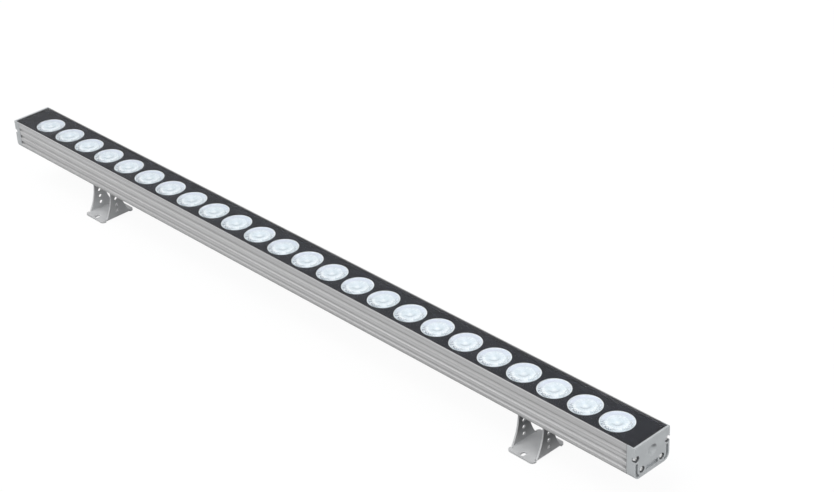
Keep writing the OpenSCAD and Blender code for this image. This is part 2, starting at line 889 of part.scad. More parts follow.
// Section of the hinge block: rounded foot round the pivot, flange, and a key in the slot's mouth
module block_section() {
    half = block_t / 2;
    base = pivot_h - block_drop;
    top = body_z - slide_gap;
    key = slot_mouth_w / 2 - slot_side_gap;
    span(-half, half, base + block_edge_r, top);
    span(-half + block_edge_r, half - block_edge_r, base, top);
    for (side = [-1, 1])
        translate([side * (half - block_edge_r), base + block_edge_r])
            circle(r = block_edge_r, $fn = small_fn);
    span(-flange_w / 2, flange_w / 2, top - flange_t, top);
    span(-key, key, top - cut, body_z + slot_lip_t);
}

// Hinge block: both pivot screws thread into its ends, the clamp screw passes up its middle
module hinge_block() {
    tapped_h = pivot_reach + slide_gap;
    color("darkgray")
        difference() {
            along_x(2 * block_x) block_section();
            both_ends()
                translate([block_x - tapped_h, 0, pivot_h])
                    rotate([0, 90, 0])
                        cylinder(d = pivot_d + 2 * fit_gap, h = tapped_h + cut, $fn = round_fn);
            cylinder(d = clamp_d + 2 * fit_gap, h = 2 * body_z, $fn = small_fn);
            cylinder(d = clamp_head_d + head_gap, h = clamp_seat, $fn = small_fn);
        }
}

// T-nut in the slot, drawn up against the lips by the clamp screw
module t_nut() {
    half = slot_w / 2 - slot_side_gap;
    color("dimgray")
        difference() {
            translate([-nut_len / 2, -half, body_z + nut_z]) cube([nut_len, 2 * half, nut_h]);
            translate([0, 0, body_z]) cylinder(d = clamp_d + 2 * fit_gap, h = body_h, $fn = small_fn);
        }
}

// Socket-head clamp screw, head down, from the hinge block up into the T-nut
module clamp_screw() {
    head_z = clamp_seat - clamp_head_t;
    top_z = body_z + nut_z + nut_h;
    color("gainsboro")
        translate([0, 0, head_z])
            difference() {
                union() {
                    cylinder(d = clamp_head_d, h = clamp_head_t, $fn = small_fn);
                    cylinder(d = clamp_d, h = top_z - head_z, $fn = small_fn);
                }
                translate([0, 0, -cut])
                    cylinder(d = clamp_hex_w / cos(30), h = clamp_hex_h + cut, $fn = 6);
            }
}

// Two button-head screws that the ears turn on
module pivot_screws() {
    edge = pivot_head_t / 2;
    color("gainsboro")
        both_ends()
            translate([0, 0, pivot_h])
                rotate([0, 90, 0])
                    difference() {
                        union() {
                            translate([0, 0, block_x - pivot_reach])
                                cylinder(d = pivot_d, h = head_x - block_x + pivot_reach, $fn = round_fn);
                            translate([0, 0, head_x])
                                rotate_extrude($fn = round_fn)
                                    polygon([
                                        [0, 0],
                                        [pivot_head_d / 2, 0],
                                        [pivot_head_d / 2, edge / 2],
                                        [pivot_head_d / 2 - edge / 2, edge + edge / 2],
                                        [pivot_head_d / 3, pivot_head_t],
                                        [0, pivot_head_t]
                                    ]);
                        }
                        translate([0, 0, head_x + pivot_head_t - pivot_hex_h])
                            cylinder(d = pivot_hex_w / cos(30), h = pivot_hex_h + cut, $fn = 6);
                    }
}

// Four nylon washers, one on each side of each ear
module pivot_washers() {
    color("white")
        both_ends()
            for (start = [block_x, bracket_w / 2 + slide_gap])
                translate([start, 0, pivot_h])
                    rotate([0, 90, 0])
                        difference() {
                            cylinder(d = washer_d, h = washer_t, $fn = round_fn);
                            translate([0, 0, -cut])
                                cylinder(d = pivot_d + 2 * run_gap, h = washer_t + 2 * cut, $fn = round_fn);
                        }
}

// Moves a bracket's pieces to the left or right bracket
module at_left() {
    translate([-bracket_x, 0, 0]) children();
}

module at_right() {
    translate([bracket_x, 0, 0]) children();
}

module left_end() {
    mirror([1, 0, 0]) children();
}

housing_profile();
left_end() end_cap();  // end_cap_left
end_cap();  // end_cap_right
left_end() end_gasket();  // end_gasket_left
end_gasket();  // end_gasket_right
left_end() cap_screws();  // cap_screws_left
cap_screws();  // cap_screws_right
cable_grommet();
entry_plug();
cover_glass();
glass_print();
glass_seal();
for (i = [1:lens_count])
    lens(i);
lens_holders(1, lens_count / 2);  // lens_holders_left
lens_holders(lens_count / 2 + 1, lens_count);  // lens_holders_right
led_board(-board_x, -board_joint / 2);  // led_board_left
led_board(board_joint / 2, board_x);  // led_board_right
led_emitters(1, lens_count / 2);  // led_emitters_left
led_emitters(lens_count / 2 + 1, lens_count);  // led_emitters_right
driver_chips(1, lens_count / 2 - 1);  // driver_chips_left
driver_chips(lens_count / 2 + 1, lens_count - 1);  // driver_chips_right
board_screws();
board_jumpers();
terminal_block();
at_left() bracket();  // bracket_left
at_left() hinge_block();  // hinge_block_left
at_left() t_nut();  // t_nut_left
at_left() clamp_screw();  // clamp_screw_left
at_left() pivot_screws();  // pivot_screws_left
at_left() pivot_washers();  // pivot_washers_left
at_right() bracket();  // bracket_right
at_right() hinge_block();  // hinge_block_right
at_right() t_nut();  // t_nut_right
at_right() clamp_screw();  // clamp_screw_right
at_right() pivot_screws();  // pivot_screws_right
at_right() pivot_washers();  // pivot_washers_right
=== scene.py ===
# %% [markdown]
# # A linear wall washer light, dressed in Blender
# The CAD model of the light is loaded as a fixed frame: a grooved aluminium housing with a
# glass front, 24 lenses, two end caps, and two tilting foot brackets. Each cell takes one
# piece or one finish, says what it is on the real light, and then makes it. All lengths are
# in metres in the CAD's own frame, so +X runs along the light, -Y is its front side, and
# Z = 0 is the plane that the brackets stand on. Sizes that a maker would give in millimetres
# are written as a number times mm.

# %% Load the frame
import json
import math

import bmesh
import bpy
from mathutils import Matrix, Vector

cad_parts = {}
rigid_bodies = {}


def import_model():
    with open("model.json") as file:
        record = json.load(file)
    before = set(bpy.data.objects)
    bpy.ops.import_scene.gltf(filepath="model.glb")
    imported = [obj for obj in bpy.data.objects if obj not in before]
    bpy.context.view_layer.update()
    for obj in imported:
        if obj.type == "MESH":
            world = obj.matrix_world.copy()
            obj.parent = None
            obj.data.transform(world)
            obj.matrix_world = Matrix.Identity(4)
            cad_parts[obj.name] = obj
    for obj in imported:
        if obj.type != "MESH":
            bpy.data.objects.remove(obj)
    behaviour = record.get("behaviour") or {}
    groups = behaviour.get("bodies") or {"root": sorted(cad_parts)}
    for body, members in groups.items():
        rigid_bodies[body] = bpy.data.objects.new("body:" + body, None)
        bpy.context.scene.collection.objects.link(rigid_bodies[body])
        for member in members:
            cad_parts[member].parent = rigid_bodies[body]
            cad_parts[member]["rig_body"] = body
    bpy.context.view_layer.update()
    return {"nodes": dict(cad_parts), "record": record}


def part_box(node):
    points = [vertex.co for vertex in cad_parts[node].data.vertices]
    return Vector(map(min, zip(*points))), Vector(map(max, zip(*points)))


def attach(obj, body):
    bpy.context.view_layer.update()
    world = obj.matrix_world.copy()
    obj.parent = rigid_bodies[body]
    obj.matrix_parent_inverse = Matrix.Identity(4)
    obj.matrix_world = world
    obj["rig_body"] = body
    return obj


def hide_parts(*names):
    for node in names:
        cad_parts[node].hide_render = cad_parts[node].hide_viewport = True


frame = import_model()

scene = bpy.context.scene
mm = 0.001
slot_of = {part["node"]: part["material_slot"] for part in frame["record"]["subparts"]}
body_of = {name: node["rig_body"] for name, node in frame["nodes"].items()}

# %% [markdown]
# ## Camera
# The camera stands where the photographer stood: to the front and right of the light and
# about 30 degrees above it. Its place was solved once from the row of lenses, so a plain
# rotation matrix is written here. Its rows point right, down and ahead in the picture, and
# Blender's camera wants right, up and back, so two of them change sign.

# %% Camera
picture_right = Vector((0.69566, 0.71721, -0.04091))
picture_down = Vector((0.33991, -0.37880, -0.86080))
picture_ahead = Vector((-0.63287, 0.58491, -0.50730))
camera_spot = Vector((1.42098, -1.13386, 1.15156))
sensor_width, focal_length = 36, 84.07
camera = bpy.data.objects.new("camera", bpy.data.cameras.new("camera"))
scene.collection.objects.link(camera)
axes = Matrix((picture_right, -picture_down, -picture_ahead)).transposed()
camera.matrix_world = Matrix.Translation(camera_spot) @ axes.to_4x4()
camera.data.sensor_width, camera.data.lens = sensor_width, focal_length
scene.camera = camera
print("camera is", round(camera.location.length, 2), "m from the frame's origin")

# %% [markdown]
# ## Small helpers for shader nodes
# A finish is a net of nodes. Making each node takes the same three steps: add it, set it,
# and link what feeds it. One helper does all three, so that the cells below read like a
# recipe. A value that is a socket gets linked, and anything else is typed into the input.
# Finished materials are kept in a dictionary by the name of the slot that they fill.

# %% Node helpers
def add(tree, kind, inputs=(), **settings):
    """Adds a node. inputs is a dict of input name or number to a value or to an output."""
    node = tree.nodes.new(kind)
    for setting, value in settings.items():
        setattr(node, setting, value)
    for socket, value in dict(inputs).items():
        if isinstance(value, bpy.types.NodeSocket):
            tree.links.new(value, node.inputs[socket])
        else:
            node.inputs[socket].default_value = value
    return node


def calculate(tree, operation, *values):
    """A Math node's result."""
    return add(tree, "ShaderNodeMath", dict(enumerate(values)), operation=operation).outputs[0]


def fade(tree, value, start, end, low=0.0, high=1.0):
    """Goes smoothly from low at start to high at end."""
    return add(tree, "ShaderNodeMapRange", {"Value": value, "From Min": start, "From Max": end,
               "To Min": low, "To Max": high}, interpolation_type="SMOOTHSTEP").outputs["Result"]


def blend(tree, share, first, second):
    """Goes from one colour to another as share goes from 0 to 1."""
    node = add(tree, "ShaderNodeMix", data_type="RGBA")
    for socket, value in (("Factor_Float", share), ("A_Color", first), ("B_Color", second)):
        target = next(s for s in node.inputs if s.identifier == socket)
        if isinstance(value, bpy.types.NodeSocket):
            tree.links.new(value, target)
        elif socket == "Factor_Float":
            target.default_value = value
        else:
            target.default_value = (*value, 1)
    return next(s for s in node.outputs if s.identifier == "Result_Color")


def new_group(name, inputs, outputs):
    """A shader node group with plain number sockets. Returns its tree, entry and exit nodes."""
    tree = bpy.data.node_groups.new(name, "ShaderNodeTree")
    for label, start in inputs.items():
        socket = tree.interface.new_socket(label, in_out="INPUT", socket_type="NodeSocketFloat")
        socket.default_value = start
    for label in outputs:
        tree.interface.new_socket(label, in_out="OUTPUT", socket_type="NodeSocketFloat")
    return tree, tree.nodes.new("NodeGroupInput"), tree.nodes.new("NodeGroupOutput")


def use(tree, group, **values):
    """Places a group in a material with its own values."""
    node = tree.nodes.new("ShaderNodeGroup")
    node.node_tree = group
    for label, value in values.items():
        node.inputs[label].default_value = value
    return node.outputs


def new_finish(name, **values):
    """A material with plain values on its shader. Returns the material, its tree and shader."""
    material = bpy.data.materials.new(name)
    material.use_nodes = True
    shader = material.node_tree.nodes["Principled BSDF"]
    for socket, value in values.items():
        shader.inputs[socket.replace("_", " ")].default_value = value
    return material, material.node_tree, shader


def connect(tree, source, shader, socket):
    """Feeds a changing value or colour into one of the shader's sockets."""
    tree.links.new(source, shader.inputs[socket])


def emboss(tree, height, shader, depth):
    """Makes the surface rise and fall by depth as height goes from 0 to 1."""
    bump = add(tree, "ShaderNodeBump", {"Height": height, "Distance": depth, "Strength": 1.0})
    connect(tree, bump.outputs["Normal"], shader, "Normal")


finish = {}
noise_low, noise_high = 0.3, 0.7
print("node helpers are ready; a noise seldom leaves", noise_low, "to", noise_high)

# %% [markdown]
# ## Effect: die lines
# Aluminium pressed through a die keeps faint straight lines along its length. They could be
# modelled, but they are hundredths of a millimetre deep. Noise that is squeezed across the
# section and stretched along X gives the same look, and it fits any face of the profile.

# %% Die lines
die_lines, entry, leave = new_group("die_lines", {"Width": 2 * mm, "Length": 800 * mm},
                                    ("Lines", "Fine"))
place = add(die_lines, "ShaderNodeTexCoord").outputs["Object"]
across = calculate(die_lines, "DIVIDE", 1.0, entry.outputs["Width"])
along = calculate(die_lines, "DIVIDE", 1.0, entry.outputs["Length"])
for output, finer in (("Lines", 1.0), ("Fine", 5.0)):
    squeeze = calculate(die_lines, "MULTIPLY", across, finer)
    scale = add(die_lines, "ShaderNodeCombineXYZ", {0: along, 1: squeeze, 2: squeeze}).outputs[0]
    squeezed = add(die_lines, "ShaderNodeVectorMath", {0: place, 1: scale}, operation="MULTIPLY")
    noise = add(die_lines, "ShaderNodeTexNoise",
                {"Vector": squeezed.outputs[0], "Scale": 1.0, "Detail": 2.0, "Roughness": 0.55})
    streaks = fade(die_lines, noise.outputs[0], noise_low, noise_high)
    die_lines.links.new(streaks, leave.inputs[output])
print("die lines: a streak is about 2 mm wide and 800 mm long unless a finish says otherwise")

# %% [markdown]
# ## Effect: grain
# Powder coat, bead-blasted metal and moulded plastic all have a fine even grain. One noise
# gives its height, and a slower one gives the cloudy patches that keep a plain area from
# looking dead. The size is an input, because each finish has its own.

# %% Grain
grain, entry, leave = new_group("grain", {"Size": 0.6 * mm, "Patch": 40 * mm},
                                ("Grain", "Patches"))
place = add(grain, "ShaderNodeTexCoord").outputs["Object"]
for output, size, detail in (("Grain", "Size", 3.0), ("Patches", "Patch", 2.0)):
    scale = calculate(grain, "DIVIDE", 1.0, entry.outputs[size])
    noise = add(grain, "ShaderNodeTexNoise", {"Vector": place, "Scale": scale, "Detail": detail})
    cloud = fade(grain, noise.outputs[0], noise_low, noise_high)
    grain.links.new(cloud, leave.inputs[output])
print("grain: 0.6 mm bumps and 40 mm patches unless a finish says otherwise")

# %% [markdown]
# ## Effect: edge wear
# Handling rubs the edges of metal bright, and a coat lies thinner there. The pieces below
# get rounded edges, and the faces of each rounding carry the number 1 in an attribute named
# edge. Here that number is broken up by noise, so the wear comes and goes along an edge.

# %% Edge wear
least_wear = 0.35
edge_wear, entry, leave = new_group("edge_wear", {"Spacing": 12 * mm, "Amount": 0.6}, ("Worn",))
edge = add(edge_wear, "ShaderNodeAttribute", attribute_name="edge").outputs["Fac"]
place = add(edge_wear, "ShaderNodeTexCoord").outputs["Object"]
scale = calculate(edge_wear, "DIVIDE", 1.0, entry.outputs["Spacing"])
noise = add(edge_wear, "ShaderNodeTexNoise", {"Vector": place, "Scale": scale, "Detail": 4.0})
broken = fade(edge_wear, noise.outputs[0], 0.35, 0.65, least_wear, 1.0)
worn = calculate(edge_wear, "MULTIPLY", calculate(edge_wear, "MULTIPLY", edge, broken),
                 entry.outputs["Amount"])
edge_wear.links.new(worn, leave.inputs["Worn"])
print("edge wear: a share of", least_wear, "to 1 of its amount, on faces marked edge")

# %% [markdown]
# ## Finish: anodised extrusion
# The housing is natural anodised aluminium: a satin metal that mirrors light and dark areas
# but no shapes. The oxide layer on it scatters most of the light, so the finish is mainly a
# plain grey, with a share of metal. The die lines shift its colour and roughness a little
# and raise it by a hair. Shade is painted into the long grooves, most of all near an end cap.

# %% Anodised extrusion
groove_floor, groove_mouth = 24.3 * mm, 24.9 * mm
# Over this span of X the painted shade in the grooves grows from its least to its most share.
groove_shade_start, groove_shade_end = 482 * mm, 490 * mm
groove_shade_least, groove_shade_most = 0.10, 0.65
metal, tree, shader = new_finish("anodised_extrusion", Metallic=0.12)
lines = use(tree, die_lines, Width=1.5 * mm, Length=900 * mm)
clouds = use(tree, grain, Size=0.5 * mm, Patch=90 * mm)
worn = use(tree, edge_wear, Spacing=30 * mm, Amount=0.8)["Worn"]
half_fine = calculate(tree, "MULTIPLY", lines["Fine"], 0.5)
colour = blend(tree, lines["Lines"], (0.50, 0.495, 0.495), (0.72, 0.72, 0.72))
colour = blend(tree, half_fine, colour, (0.43, 0.425, 0.425))
colour = blend(tree, worn, colour, (0.80, 0.80, 0.80))
place = add(tree, "ShaderNodeSeparateXYZ", {0: add(tree, "ShaderNodeTexCoord").outputs["Object"]})
outwards = calculate(tree, "ABSOLUTE", place.outputs[1])
groove = fade(tree, outwards, groove_floor, groove_mouth, 1.0, 0.0)
endwards = calculate(tree, "ABSOLUTE", place.outputs[0])
end = fade(tree, endwards, groove_shade_start, groove_shade_end, groove_shade_least, groove_shade_most)
# Painted shade: the grooves are blended towards near black, most of all near the caps.
colour = blend(tree, calculate(tree, "MULTIPLY", groove, end), colour, (0.12, 0.12, 0.125))
connect(tree, colour, shader, "Base Color")
rough = fade(tree, clouds["Patches"], 0.0, 1.0, 0.36, 0.42)
connect(tree, calculate(tree, "ADD", rough, calculate(tree, "MULTIPLY", lines["Fine"], 0.05)),
        shader, "Roughness")
emboss(tree, calculate(tree, "ADD", lines["Lines"], half_fine), shader, 0.02 * mm)
finish["anodised_extrusion"] = metal
# The printed value is where the painted groove shade starts to grow.
print("finish: anodised extrusion, groove_shade from", groove_shade_start, "m outwards")

# %% [markdown]
# ## Finish: powder-coated caps and brackets
# The end caps are cast and the brackets are bent from sheet. Both wear a satin grey powder
# coat with a little metal flake in it. The same recipe serves both with other greys: grain
# for the coat's orange peel, patches for its flow, and edge wear where it lies thin. Shade is
# painted into hollows and shaded sides, whose faces carry a number in an attribute named
# shaded. On the brackets the painted shade grows with height and is strongest close under
# the housing. On the caps it is the same everywhere, so both heights of its rise lie below
# Z = 0.

# %% Powder coats
# The colour of the painted shade, and its share at the low end of its rise.
painted_shade, least_shade = (0.09, 0.09, 0.095), 0.15
flake_share = 0.18


def powder_coat(name, low, high, edge_colour, metallic, peel, shade_start_height, shade_full_height):
    """A coat from a low to a high grey, with painted shade that grows from one height to another.
    """
    material, tree, shader = new_finish(name, Metallic=metallic)
    peels = use(tree, grain, Size=peel, Patch=20 * mm)
    flake = use(tree, grain, Size=0.35 * mm, Patch=6 * mm)
    worn = use(tree, edge_wear, Spacing=10 * mm, Amount=0.75)["Worn"]
    colour = blend(tree, peels["Patches"], low, high)
    sparkle = calculate(tree, "MULTIPLY", flake["Grain"], flake_share)
    colour = blend(tree, sparkle, colour, edge_colour)
    colour = blend(tree, worn, colour, edge_colour)
    connect(tree, fade(tree, flake["Grain"], 0.0, 1.0, 0.38, 0.47), shader, "Roughness")
    shaded = add(tree, "ShaderNodeAttribute", attribute_name="shaded").outputs["Fac"]
    place = add(tree, "ShaderNodeTexCoord").outputs["Object"]
    height = add(tree, "ShaderNodeSeparateXYZ", {0: place}).outputs[2]
    rise = fade(tree, height, shade_start_height, shade_full_height, least_shade, 1.0)
    share = calculate(tree, "MULTIPLY", shaded, rise)
    # Painted shade: the marked faces are blended towards a dark grey.
    connect(tree, blend(tree, share, colour, painted_shade), shader, "Base Color")
    emboss(tree, peels["Grain"], shader, 0.03 * mm)
    return material


# Painted shade: full at every height of a cap, growing with height up a bracket.
cap_coat = {"metallic": 0.2, "peel": 1.1 * mm, "shade_start_height": -2 * mm, "shade_full_height": -1 * mm}
foot_coat = {"metallic": 0.05, "peel": 0.9 * mm, "shade_start_height": -6 * mm, "shade_full_height": 28 * mm}
finish["cast_cap"] = powder_coat("cast_cap", (0.47, 0.49, 0.50), (0.52, 0.54, 0.55),
                                 (0.84, 0.86, 0.86), **cap_coat)
finish["bracket_sheet"] = powder_coat("bracket_sheet", (0.56, 0.565, 0.57),
                                      (0.62, 0.625, 0.63), (0.84, 0.84, 0.84), **foot_coat)
print("finishes: cast cap and bracket sheet, darkest_shade above", foot_coat["shade_full_height"], "m")

# %% [markdown]
# ## Finish: machined metal and screws
# The hinge blocks and T-nuts are cut from bar, so they show fine tool marks, and the screws
# are bright steel. A stretched noise draws the tool marks, and the steel gets small
# smudges in its roughness, because a spotless mirror looks false.

# %% Machined metal and steel
block, tree, shader = new_finish("block_metal", Metallic=0.75)
marks = use(tree, die_lines, Width=0.6 * mm, Length=20 * mm)
worn = use(tree, edge_wear, Spacing=8 * mm, Amount=0.8)["Worn"]
colour = blend(tree, marks["Lines"], (0.40, 0.40, 0.41), (0.50, 0.50, 0.51))
connect(tree, blend(tree, worn, colour, (0.72, 0.72, 0.72)), shader, "Base Color")
connect(tree, fade(tree, marks["Fine"], 0.0, 1.0, 0.32, 0.44), shader, "Roughness")
emboss(tree, marks["Lines"], shader, 0.02 * mm)
finish["block_metal"] = block

steel, tree, shader = new_finish("bright_screw", Metallic=0.5)
smudge = use(tree, grain, Size=0.4 * mm, Patch=2 * mm)
worn = use(tree, edge_wear, Spacing=4 * mm, Amount=0.5)["Worn"]
colour = blend(tree, smudge["Patches"], (0.84, 0.84, 0.84), (0.93, 0.93, 0.92))
connect(tree, blend(tree, worn, colour, (0.95, 0.95, 0.94)), shader, "Base Color")
connect(tree, fade(tree, smudge["Patches"], 0.0, 1.0, 0.2, 0.32), shader, "Roughness")
emboss(tree, smudge["Grain"], shader, 0.01 * mm)
finish["bright_screw"] = steel
print("finishes: block metal and bright screws")

# %% [markdown]
# ## Finish: plastics and rubber
# Seals, grommet, lens holders, boards and chips are plain moulded things. A shared recipe
# with two near shades, a grain and its own roughness keeps each from being one flat colour.
# The black print sticks to the glass without air between, so it hardly shines by itself.

# %% Plastics and rubber
grains_per_patch = 18
roughness_swing = 0.05


def moulded(name, low, high, roughness, size, depth, **values):
    """A plain finish from a low to a high shade, with grains of a size and a depth."""
    material, tree, shader = new_finish(name, **values)
    grains = use(tree, grain, Size=size, Patch=size * grains_per_patch)
    worn = use(tree, edge_wear, Spacing=10 * mm, Amount=0.25)["Worn"]
    colour = blend(tree, grains["Patches"], low, high)
    paler = [min(1.0, 0.08 + 1.1 * channel) for channel in high]
    connect(tree, blend(tree, worn, colour, paler), shader, "Base Color")
    spread = fade(tree, grains["Grain"], 0.0, 1.0, roughness - roughness_swing,
                  roughness + roughness_swing)
    connect(tree, spread, shader, "Roughness")
    emboss(tree, grains["Grain"], shader, depth)
    return material


finish["grey_silicone"] = moulded("grey_silicone", (0.26, 0.265, 0.27), (0.31, 0.315, 0.32),
                                  0.62, 0.6 * mm, 0.04 * mm)
finish["black_rubber"] = moulded("black_rubber", (0.034, 0.035, 0.038), (0.044, 0.045, 0.049),
                                 0.42, 0.5 * mm, 0.04 * mm)
finish["black_print"] = moulded("black_print", (0.008, 0.009, 0.014), (0.013, 0.014, 0.020),
                                0.5, 0.4 * mm, 0.01 * mm, Specular_IOR_Level=0.2)
finish["white_plastic"] = moulded("white_plastic", (0.84, 0.86, 0.88), (0.90, 0.91, 0.92),
                                  0.35, 0.8 * mm, 0.02 * mm)
finish["white_board"] = moulded("white_board", (0.80, 0.81, 0.81), (0.87, 0.87, 0.86),
                                0.4, 0.9 * mm, 0.02 * mm)
finish["chip_black"] = moulded("chip_black", (0.035, 0.035, 0.037), (0.05, 0.05, 0.053),
                               0.5, 0.3 * mm, 0.02 * mm)
finish["green_plastic"] = moulded("green_plastic", (0.05, 0.27, 0.11), (0.07, 0.33, 0.14),
                                  0.4, 0.5 * mm, 0.02 * mm)
finish["nylon"] = moulded("nylon", (0.78, 0.78, 0.74), (0.85, 0.85, 0.81),
                          0.4, 0.5 * mm, 0.02 * mm)
finish["emitter"] = moulded("emitter", (0.86, 0.76, 0.30), (0.92, 0.84, 0.42),
                            0.3, 0.4 * mm, 0.01 * mm, Coat_Weight=0.6, Coat_Roughness=0.08)
print("finishes so far:", len(finish))

# %% [markdown]
# ## Finish: cover glass
# The front is a 5 mm pane of clear toughened glass. In Cycles real glass also stops the
# lamps' light, so what lies behind it goes dark. The usual mend is used here: for shadow
# rays the pane turns into a plain see-through sheet, and for the eye it stays glass.

# %% Cover glass
def let_lamps_through(material, colour):
    """Turns a clear material into a plain tinted sheet for shadow rays."""
    tree = material.node_tree
    shader = tree.nodes["Principled BSDF"]
    output = tree.nodes["Material Output"]
    open_sheet = add(tree, "ShaderNodeBsdfTransparent", {"Color": (*colour, 1)})
    path = add(tree, "ShaderNodeLightPath")
    switch = add(tree, "ShaderNodeMixShader", {0: path.outputs["Is Shadow Ray"],
                 1: shader.outputs[0], 2: open_sheet.outputs[0]})
    tree.links.new(switch.outputs[0], output.inputs["Surface"])


glass, tree, shader = new_finish("cover_glass", Roughness=0.02, IOR=1.5,
                                 Transmission_Weight=1.0)
films = use(tree, grain, Size=4 * mm, Patch=120 * mm)
colour = blend(tree, films["Patches"], (0.98, 0.995, 0.995), (0.99, 0.9975, 0.9975))
connect(tree, colour, shader, "Base Color")
let_lamps_through(glass, (0.98, 0.99, 0.99))
finish["cover_glass"] = glass
print("finish: cover glass")

# %% [markdown]
# ## Finish: lens
# The lenses are moulded from clear acrylic and look milky white with a hint of blue, because
# they gather the light of everything pale round them. A pale plain colour with a small share
# of clear plastic does that with little noise. What the facets inside do to the light is
# drawn with masks: a ring, or a direction as seen from the lens's axis. Radius 1 is the
# lens's edge.

# %% Lens and its masks
acrylic, tree, shader = new_finish("clear_lens", Roughness=0.08, IOR=1.49,
                                   Transmission_Weight=0.12, Coat_Weight=0.6, Coat_Roughness=0.03)
place = add(tree, "ShaderNodeSeparateXYZ", {0: add(tree, "ShaderNodeTexCoord").outputs["Object"]})
x, y = place.outputs[0], place.outputs[1]
lens_r = 17.8 * mm
flute_count = 16
squares = calculate(tree, "ADD", calculate(tree, "MULTIPLY", x, x),
                    calculate(tree, "MULTIPLY", y, y))
radius = calculate(tree, "DIVIDE", calculate(tree, "SQRT", squares), lens_r)
angle = calculate(tree, "ARCTAN2", y, x)


def ring(middle, width):
    """1 on a ring of the lens, falling to 0 at width away from its middle."""
    off = calculate(tree, "ABSOLUTE", calculate(tree, "SUBTRACT", radius, middle))
    return fade(tree, off, width * 0.35, width, 1.0, 0.0)


def towards(degrees, spread):
    """1 on the side of the lens that lies towards an angle, 0 beyond the spread."""
    turn = calculate(tree, "COSINE", calculate(tree, "SUBTRACT", angle, math.radians(degrees)))
    return fade(tree, turn, math.cos(math.radians(spread)), 1.0)


def both(*masks):
    """The masks times each other."""
    result = masks[0]
    for mask in masks[1:]:
        result = calculate(tree, "MULTIPLY", result, mask)
    return result


print("lens: masks are ready, a radius of 1 is", lens_r, "m")

# %% [markdown]
# ## Finish: the light inside a lens
# The facets break the light into pale petals in a ring, streaks like spokes, dark specks
# towards the near edge, and a lavender tinge on the far side, all painted into the colour,
# with a painted highlight in the middle and a painted shade beside it. Each is a colour laid
# over the last one through a mask, and a mask is a ring, times a direction, times a noise.

# %% The light inside a lens
films = use(tree, grain, Size=1.3 * mm, Patch=6 * mm)
specks = fade(tree, films["Grain"], 0.5, 0.62)
wave = calculate(tree, "COSINE", calculate(tree, "MULTIPLY", angle, float(flute_count)))
petals = calculate(tree, "MULTIPLY_ADD", wave, 0.5, 0.5)
spokes = add(tree, "ShaderNodeCombineXYZ", {0: calculate(tree, "COSINE", angle),
             1: calculate(tree, "SINE", angle), 2: calculate(tree, "MULTIPLY", radius, 0.4)})
streaks = add(tree, "ShaderNodeTexNoise",
              {"Vector": spokes.outputs[0], "Scale": 9.0, "Detail": 2.0})
streaks = fade(tree, streaks.outputs[0], 0.38, 0.62)
white, grey, lavender = (1.0, 1.0, 1.0), (0.20, 0.23, 0.28), (0.72, 0.74, 0.86)
colour = blend(tree, films["Patches"], (0.68, 0.75, 0.80), (0.79, 0.84, 0.89))
colour = blend(tree, both(ring(0.80, 0.20), towards(135, 110), 0.7), colour, lavender)
colour = blend(tree, both(ring(0.58, 0.05), 0.25), colour, white)
colour = blend(tree, both(ring(0.50, 0.13), petals, streaks, 0.6), colour, white)
colour = blend(tree, both(ring(0.68, 0.22), towards(-100, 70), streaks), colour, white)
colour = blend(tree, both(ring(0.66, 0.20), towards(5, 65), streaks, 0.9), colour, white)
# Painted reflections: grey specks of the dark things round the lens, on two sides.
colour = blend(tree, both(ring(0.78, 0.17), towards(-105, 62), specks), colour, grey)
colour = blend(tree, both(ring(0.76, 0.17), towards(15, 55), specks, 0.6), colour, grey)
# A painted shade close to the middle, on the near side.
colour = blend(tree, both(ring(0.30, 0.08), towards(-45, 90), 0.35), colour, grey)
# A painted highlight in the middle of the lens.
colour = blend(tree, both(fade(tree, radius, 0.05, 0.2, 1.0, 0.0), 0.5), colour, white)
colour = blend(tree, both(ring(0.965, 0.05), 0.8), colour, white)
connect(tree, colour, shader, "Base Color")
let_lamps_through(acrylic, (0.93, 0.96, 0.98))
finish["clear_lens"] = acrylic
print("finish: clear lens with", flute_count, "petals; finishes in all:", len(finish))

# %% [markdown]
# ## Softened edges
# No real edge is perfectly sharp. The CAD solids come as triangles with hard corners, so a
# helper makes a copy of a node: it joins the triangles back into flat faces, rounds every
# outward corner by a fraction of a millimetre, and marks the roundings for the edge wear.
# Weighted normals then keep the flats flat, so that only the roundings catch the light.

# %% Softened copies of CAD nodes
weld_distance = 0.002 * mm
flat_degrees = 0.5
corner_degrees = 28
smooth_degrees = 35
rounding_steps = 2
straight = 0.999  # how nearly an edge runs along X, where 1 is exactly


def as_bmesh(node):
    """The node's faces as a clean bmesh, with doubled corners joined."""
    source = frame["nodes"][node].data
    bm = bmesh.new()
    corners = [bm.verts.new(vertex.co) for vertex in source.vertices]
    for polygon in source.polygons:
        bm.faces.new([corners[i] for i in polygon.vertices])
    bmesh.ops.remove_doubles(bm, verts=bm.verts, dist=weld_distance)
    bmesh.ops.dissolve_limit(bm, angle_limit=math.radians(flat_degrees), verts=bm.verts,
                             edges=bm.edges)
    return bm


def settle(name, bm, smooth_under=smooth_degrees):
    """Turns a bmesh into a mesh that is smooth except at corners sharper than smooth_under."""
    bmesh.ops.recalc_face_normals(bm, faces=bm.faces)
    mesh = bpy.data.meshes.new(name)
    bm.to_mesh(mesh)
    bm.free()
    mesh.shade_smooth()
    mesh.set_sharp_from_angle(angle=math.radians(smooth_under))
    return mesh


def show(name, mesh, *nodes, at=(0, 0, 0), weighted=True):
    """Links a mesh as a piece that stands for CAD nodes, and rides as they do."""
    piece = bpy.data.objects.new(name, mesh)
    scene.collection.objects.link(piece)
    piece.location = at
    if not mesh.materials:
        mesh.materials.append(finish[slot_of[nodes[0]]])
    if weighted:
        piece.modifiers.new("weighted normals", "WEIGHTED_NORMAL").keep_sharp = True
    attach(piece, body_of[nodes[0]])
    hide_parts(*nodes)
    return piece


